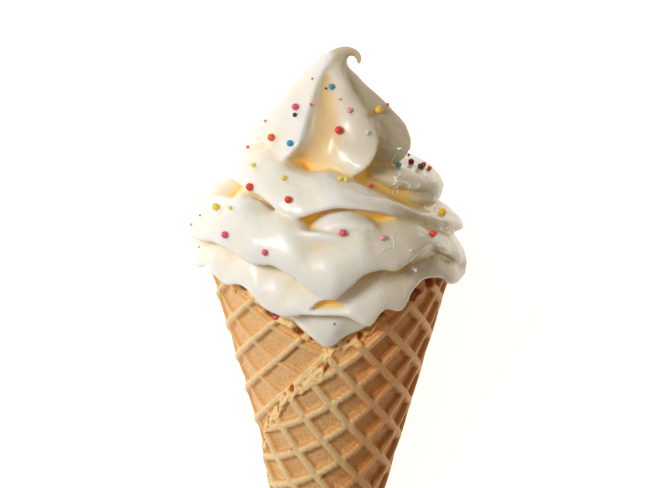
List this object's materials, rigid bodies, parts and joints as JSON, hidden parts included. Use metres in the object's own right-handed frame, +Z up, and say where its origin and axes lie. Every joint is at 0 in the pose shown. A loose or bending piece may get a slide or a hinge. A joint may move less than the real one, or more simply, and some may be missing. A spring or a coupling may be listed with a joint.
{
  "type": "soft serve ice cream cone",
  "caption": "Soft serve ice cream piped in a tall folded swirl with a curled peak, in a rolled waffle cone that lies on its back.",
  "frame": {"origin": "centre of the footprint at the lowest point, where the swirl's back and the cone's tip rest", "axes": "+Y along the length from the cone's tip to the swirl's peak, +Z up out of the face with the notch in the cone, +X to that face's right"},
  "size_m": [0.0764, 0.1662, 0.0755],
  "materials": {
    "soft_serve": "soft, moist",
    "waffle": "dry, baked"
  },
  "bodies": {
    "root": {"soft_serve": "soft_serve", "waffle_cone": "waffle"}
  },
  "joints": []
}
